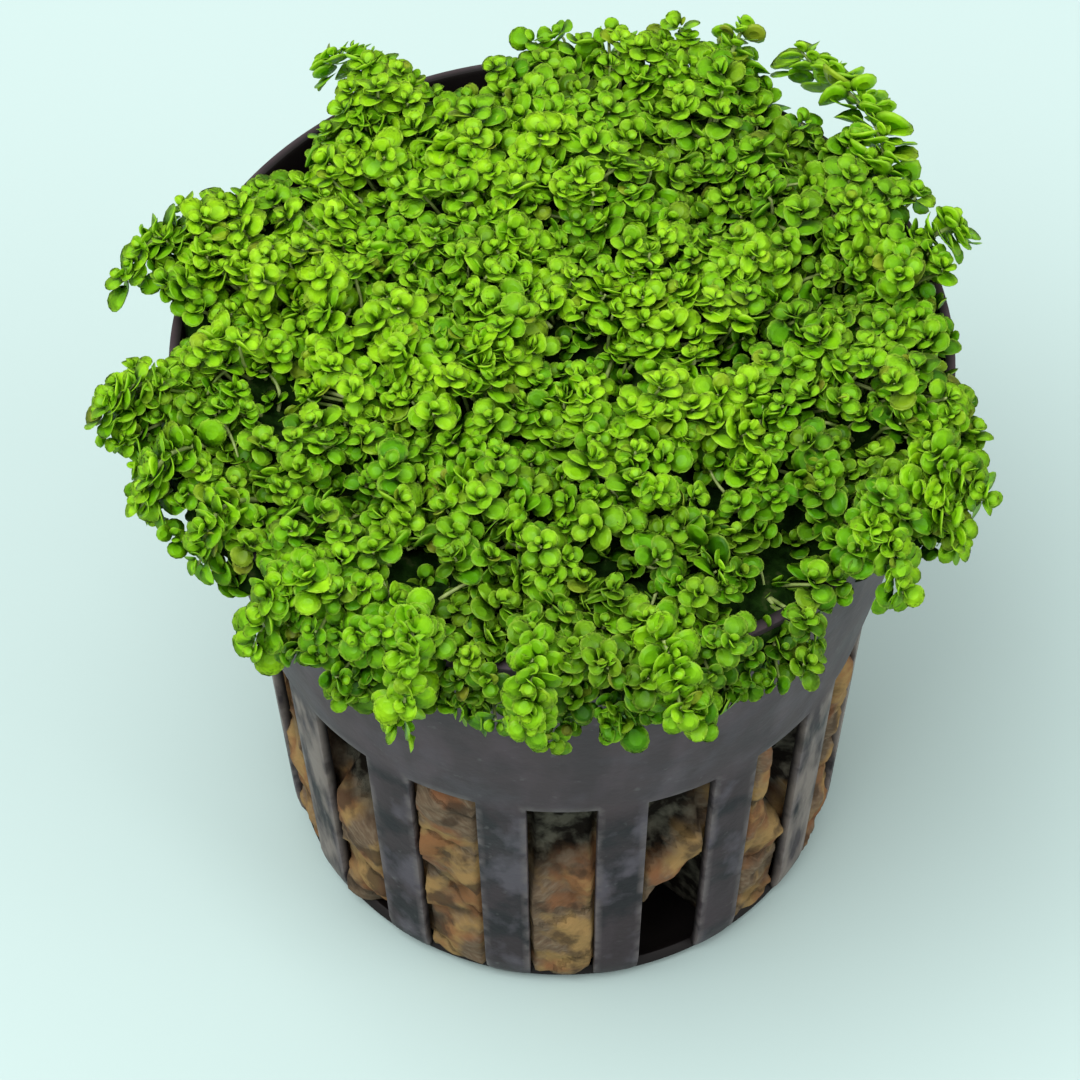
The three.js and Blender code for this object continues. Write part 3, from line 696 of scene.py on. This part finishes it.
def clears_pot(leaf):
    """Whether a leaf stays out of the pot's wall."""
    for share in (0.3, 0.65, 1.0):
        x, y, z = leaf[0] + unit(leaf[1]) * leaf[3] * share
        inward = wall_radius(z) - math.hypot(x, y)
        if z < pot_height + 0.1 * MM and -wall_room < inward < pot_wall + wall_room:
            return False
    return True


def within_mat(leaf):
    """Whether a leaf ends within the mat's measured outline."""
    x, y, z = leaf[0] + unit(leaf[1]) * leaf[3]
    return math.hypot(x, y) < mat_edge(azimuth_of((x, y)))


leaf_green, nodes, links = new_material("soft_gloss_leaf", Roughness=0.42, Specular_IOR_Level=0.16)
green = add_ramp(
    nodes,
    links,
    add_attribute(nodes, "shade"),
    (0.0, (0.035, 0.14, 0.001)),
    (0.3, (0.09, 0.32, 0.002)),
    (0.6, (0.175, 0.47, 0.003)),
    (1.0, (0.31, 0.63, 0.006)),
)
# Lime young leaves, a few olive old ones, and a pale margin round each, partly the leaf's own pale
# edge and partly painted highlight.
for tone, colour, start, share in (
    ("youth", (0.38, 0.7, 0.02), 0.2, 0.75),
    ("age", (0.22, 0.2, 0.02), 0.35, 0.75),
    ("margin", (0.46, 0.68, 0.07), 0.75, 0.45),
):
    painted = add_attribute(nodes, tone)
    green = add_patches(nodes, links, green, colour, painted, (start, 0.0), (1.0, share))
# A leaf is deeper green at its base, partly its own colour and partly painted shade, and mottled.
for pattern, darker, start, end in (
    (add_attribute(nodes, "along_leaf"), (0.42, 0.55, 0.35), 0.0, 0.6),
    (add_noise(nodes, links, 1100, detail=3), (0.74, 0.78, 0.7), 0.35, 0.65),
):
    deeper = add_ramp(nodes, links, pattern, (start, darker), (end, (1.0, 1.0, 1.0)))
    green = add_mix(nodes, links, 1.0, green, deeper, blend="MULTIPLY")
links.new(green, nodes["Principled BSDF"].inputs["Base Color"])
add_bump(nodes, links, add_noise(nodes, links, 2600, detail=3), 0.06 * MM)

# The mat's rosettes stand in clumps with gaps between them, and those near the front's rim hang.
quarters = ("front", "right", "back", "left")
clumps_per_metre = 165
swells_per_metre = 200
gaps_per_metre = 210
patches_per_metre = 60
clump_height = 1.7 * MM
clump_top = 0.8
clump_slope = 1.7
swell_share = 0.7
highest_mound = 0.75
deepest_swell = -0.2
gap_from = 0.37
bare_below = -0.9
hang_reach = 2.5 * MM
hang_drop = 0.8 * MM
back_edge_reach = 6 * MM
unevenness = 0.3 * MM
upward_pull = 0.45
hanging_pull = 0.5
rosette_sizes = (0.75, 1.2)
youth_spread = (0.2, 1.8)
extra_pair_share = 0.3
share_within = 0.65
# How the mat's tone varies: painted lighter on its clumps and darker between them as painted light
# and shade, lighter by patches and to the left, darker in front.
clump_light_and_shade = 0.45
patch_tone = 0.5
tone_stray = 0.1
right_darker = 0.13
front_darker = 0.16
front_begins = (0.3, 0.8)
# An upright stem stands in the tangle below its rosette, a little nearer the pot's middle.
stem_share = 0.93
foot_depth = 2 * MM
stem_stray = 0.2 * MM
stem_neck = 0.3 * MM
# Where the clumps, their swellings, the gaps and the darker patches fall.
clump_shift = Vector((16.0, -19.1, 6.4))
swell_shift = Vector((-12.2, 4.3, 16.6))
gap_shift = Vector((-17.5, -8.6, -9.4))
patch_shift = Vector((7.6, -6.2, -17.6))
stalks = []
# Layers from the fringe down: height on the skin, spacing, leaf pairs, tilt, shade and youth. The
# deeper layers are painted darker, partly as painted shade.
for name, lift, spacing, pairs, tilt, brightness, youth in (
    ("mat_fringe", 1.0 * MM, 2.5 * MM, 5, 0.25, 0.5, 0.3),
    ("mat_top", 0.5 * MM, 1.75 * MM, 4, 0.32, 0.66, 0.25),
    ("mat_middle", -0.4 * MM, 1.8 * MM, 3, 0.5, 0.42, 0.05),
    ("mat_deep", -1.8 * MM, 2.2 * MM, 3, 0.65, 0.32, 0.0),
):
    patches = {quarter: [] for quarter in quarters}
    for i in spread_out(spacing):
        normal = skin_normals[i]
        place = skin_middles[i]
        from_clump = noise.voronoi(Vector(place) * clumps_per_metre + clump_shift)[0][0]
        swelling = noise.noise(Vector(place) * swells_per_metre + swell_shift)
        mound = min(highest_mound, clump_top - clump_slope * from_clump + swell_share * swelling)
        gap = noise.noise(Vector(place) * gaps_per_metre + gap_shift)
        light_patch = noise.noise(Vector(place) * patches_per_metre + patch_shift)
        hanging = skin_radius[i] > rim_radius - hang_reach and place[1] < 0
        upward = (0, 0, upward_pull + hanging_pull * hanging)
        facing = unit(normal + upward + tilt * random.normal(size=3))
        swell = max(mound, deepest_swell) if name == "mat_deep" else mound
        middle = place + normal * (lift + clump_height * swell + unevenness * random.normal())
        middle[2] -= hang_drop * hanging
        size = leaf_length * random.uniform(*rosette_sizes)
        # Painted light and shade: lighter on clumps, darker in the gaps and in the deeper layers.
        shade = brightness + clump_light_and_shade * mound + patch_tone * light_patch
        shade += tone_stray * random.normal()
        to_front = share_between(-place[1] / rim_radius, *front_begins)
        shade -= right_darker * place[0] / rim_radius + front_darker * to_front
        count = min(len(pair_size), pairs + (random.uniform() < extra_pair_share))
        head = rosette(middle, facing, count, size, shade, youth * random.uniform(*youth_spread))
        back_edge = skin_radius[i] > rim_radius - back_edge_reach and place[1] > 0
        bare = gap > gap_from or mound < bare_below
        if bare and name != "mat_deep" and not back_edge:
            continue
        if name == "mat_fringe" and not hanging:
            continue
        if sum(within_mat(leaf) for leaf in head) > share_within * len(head):
            quarter = quarters[int((azimuth_of(place) + 45) % 360 // 90)]
            kept = [leaf for leaf in head if clears_pot(leaf)]
            patches[quarter] += kept
            if len(kept) > 4 and name != "mat_deep":
                foot = place * (stem_share, stem_share, 1) - foot_depth * normal
                bend = (foot + middle) / 2 + stem_stray * random.normal(size=3)
                stalks.append([foot, bend, middle - stem_neck * facing, middle])
    for quarter, leaves in patches.items():
        if not leaves:
            continue
        patch = leaves_object(f"{name}_leaves_{quarter}", leaves)
        patch.data.materials.append(leaf_green)
        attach(patch, "root")
        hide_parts("leaf_cushion")

# Stems, as thin pale tubes. Upright ones carry the mat's rosettes.
stem_sides = 6
stem_taper = 0.5
upright_stem_radius = 0.15 * MM
creeping_stem_radius = 0.16 * MM
# A way that no stem runs, from which its sides are turned.
no_stems_way = (0.31, 0.17, 0.93)


def stems_object(name, paths, radius):
    """One mesh of stems, each a closed tapering tube along its path of points."""
    points, faces = [], []
    for path in paths:
        heading = unit(np.gradient(path, axis=0))
        sideways = unit(np.cross(heading, no_stems_way))
        across = np.cross(heading, sideways)
        first = len(points)
        for k, middle in enumerate(path):
            thin = radius * (1 - stem_taper * k / len(path))
            for side in range(stem_sides):
                turn = 2 * math.pi * side / stem_sides
                out = math.cos(turn) * sideways[k] + math.sin(turn) * across[k]
                points.append(tuple(middle + thin * out))
        for k in range(len(path) - 1):
            for side in range(stem_sides):
                a = first + k * stem_sides + side
                b = first + k * stem_sides + (side + 1) % stem_sides
                faces.append((a, b, b + stem_sides, a + stem_sides))
        last = first + (len(path) - 1) * stem_sides
        faces.append(tuple(first + side for side in reversed(range(stem_sides))))
        faces.append(tuple(last + side for side in range(stem_sides)))
    return smooth_piece(name, points, faces)


stem_green, nodes, links = new_material("pale_stem", Roughness=0.45, Specular_IOR_Level=0.3)
streaked = add_noise(nodes, links, 900, detail=3)
pale = add_ramp(nodes, links, streaked, (0.35, (0.12, 0.2, 0.03)), (0.65, (0.34, 0.42, 0.14)))
links.new(pale, nodes["Principled BSDF"].inputs["Base Color"])
add_bump(nodes, links, streaked, 0.04 * MM)

# Bare creeping stems show in the gaps between the rosettes.
creeping_spacing = 2.6 * MM
creeping_reach = 25 * MM
creeping_share = 0.4
creeping_depth = 0.9 * MM
creeping_lengths = (1.5, 3.0)
creeping_bow = 0.8
end_drop = 0.5 * MM
creeping = []
for i in spread_out(creeping_spacing):
    normal = skin_normals[i]
    if normal[2] > 0.8 and skin_radius[i] < creeping_reach and random.uniform() < creeping_share:
        heading = unit(np.cross(normal, random.normal(size=3)))
        sideways = np.cross(normal, heading)
        steps = np.linspace(-1, 1, 9)[:, None]
        length = random.uniform(*creeping_lengths) * MM
        bow = random.uniform(-creeping_bow, creeping_bow) * MM
        path = skin_middles[i] - creeping_depth * normal + steps * length * heading
        creeping.append(path + sideways * bow * steps**2 - normal * end_drop * steps**2)
upright = [np.array(stalk) for stalk in stalks]
for name, paths, radius in (
    ("creeping_stems", creeping, creeping_stem_radius),
    ("upright_stems", upright, upright_stem_radius),
):
    stems = stems_object(name, paths, radius)
    stems.data.materials.append(stem_green)
    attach(stems, "root")
    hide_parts("leaf_cushion")

# Under the leaves the older stems lie packed in a tangle, which is the skin drawn in, painted near
# black as painted shade.
tangle_drop = 2.6 * MM
tangle_lumps = 0.6 * MM
skin_top = skin_middles[:, 2].max()
for vertex in skin.data.vertices:
    over = (vertex.co.z - wool_high.z) / (skin_top - wool_high.z)
    vertex.co.x *= stem_share
    vertex.co.y *= stem_share
    vertex.co.z -= tangle_drop * max(over, 0) + tangle_lumps * noise.noise(vertex.co * 400)
tangle, nodes, links = new_material("tangled_stems_painted_shade", Roughness=0.9, Specular_IOR_Level=0.02)
packed = add_noise(nodes, links, 900, detail=6)
# Painted shade: the tangle is coloured near black.
dark = add_ramp(
    nodes,
    links,
    packed,
    (0.4, (0.004, 0.012, 0.002)),
    (0.6, (0.01, 0.03, 0.004)),
    (0.75, (0.045, 0.06, 0.02)),
)
links.new(dark, nodes["Principled BSDF"].inputs["Base Color"])
add_bump(nodes, links, packed, 0.6 * MM)
skin.data.materials.clear()
skin.data.materials.append(tangle)
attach(skin, "root")
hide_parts("leaf_cushion")

# Trailing shoots. Longer shoots grow out over the rim and hang or lie along it. Each is one
# stem with crossed pairs of leaves all along it and a rosette at its tip.
stem_radius = 0.2 * MM
stem_root = (24.6, 51.0)
arch_inset = 0.6
turn_out = 2.0
tip_drop = 0.8
# A shoot is the azimuth of its root, the swing of its tip, the tip's distance from the pot's
# axis, the tip's height, and the height of the stem's arch over the rim.
shoots = (
    (356, 0, 31.3, 48.2, 56.0),
    (14, 1, 31.3, 48.6, 56.0),
    (51, -1, 30.6, 48.0, 55.4),
    (60, 1, 31.6, 48.0, 55.8),
    (65, 1, 32.0, 49.6, 55.2),
    (107, 3, 30.6, 50.4, 55.0),
    (119, 28, 32.0, 51.2, 54.2),
    (154, 1, 31.6, 51.6, 54.8),
    (208, 6, 31.6, 50.4, 55.0),
    (251, 7, 32.1, 49.4, 55.4),
    (280, 1, 32.9, 49.8, 55.8),
    (292, 1, 31.8, 48.2, 55.8),
    (304, 1, 30.6, 48.4, 55.8),
    (319, -1, 31.6, 46.8, 56.0),
    (339, 1, 31.2, 48.3, 56.0),
)
bare_root = 3.0 * MM
pair_spacing = 1.3 * MM
tip_inset = 0.8 * MM
shoot_pairs = 4
tip_pairs = 5
shoot_leaf_sizes = (1.05, 1.3)
# The seventh shoot, at the back on the right, has larger leaves than the others.
large_shoot = 7
large_shoot_growth = 1.25
# A shoot's rosettes face along its stem, up and outward, each by its share.
facing_along = 0.4
facing_up = 0.8
facing_out = 0.7
facing_stray = 0.2
shoot_shades = (0.5, 0.85)
shoot_youth = 0.15


def round_the_pot(radius, azimuth, height):
    """A point in metres from millimetres and degrees round the pot."""
    turn = math.radians(azimuth)
    return np.array([radius * math.sin(turn), -radius * math.cos(turn), height]) * MM


for number, (azimuth, swing, reach, tip, arch) in enumerate(shoots, 1):
    ends = [
        round_the_pot(stem_root[0], azimuth, stem_root[1]),
        round_the_pot(reach - arch_inset, azimuth + swing * 0.2, arch),
        round_the_pot(reach - turn_out, azimuth + swing * 0.8, tip + tip_drop),
        round_the_pot(reach, azimuth + swing, tip),
    ]
    steps = np.linspace(0, 1, 25)[:, None]
    path = (1 - steps) ** 3 * ends[0] + 3 * (1 - steps) ** 2 * steps * ends[1]
    path += 3 * (1 - steps) * steps**2 * ends[2] + steps**3 * ends[3]
    lengths = np.concatenate([[0], np.cumsum(np.linalg.norm(np.diff(path, axis=0), axis=1))])
    outer = unit(path[-1] * (1, 1, 0))
    last_place = lengths[-1] - tip_inset
    leaves = []
    for place in np.append(np.arange(bare_root, lengths[-1] - 2 * tip_inset, pair_spacing), last_place):
        middle, after = (
            np.array([np.interp(at, lengths, path[:, k]) for k in range(3)])
            for at in (place, place + 0.3 * MM)
        )
        heading = unit(after - middle + 1e-9 * outer)
        facing = heading * facing_along + (0, 0, facing_up) + facing_out * outer
        facing = unit(facing + facing_stray * random.normal(size=3))
        pairs = tip_pairs if place == last_place else shoot_pairs
        size = leaf_length * random.uniform(*shoot_leaf_sizes)
        size *= large_shoot_growth if number == large_shoot else 1.0
        leaves += rosette(middle, facing, pairs, size, random.uniform(*shoot_shades), shoot_youth)
    leaves = [leaf for leaf in leaves if clears_pot(leaf)]
    shoot = leaves_object(f"shoot_{number:02d}_leaves", leaves)
    shoot.data.materials.append(leaf_green)
    stem = stems_object(f"shoot_{number:02d}_stem", [path], stem_radius)
    stem.data.materials.append(stem_green)
    for piece in (shoot, stem):
        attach(piece, "root")
        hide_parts(f"trailing_shoot_{number:02d}")
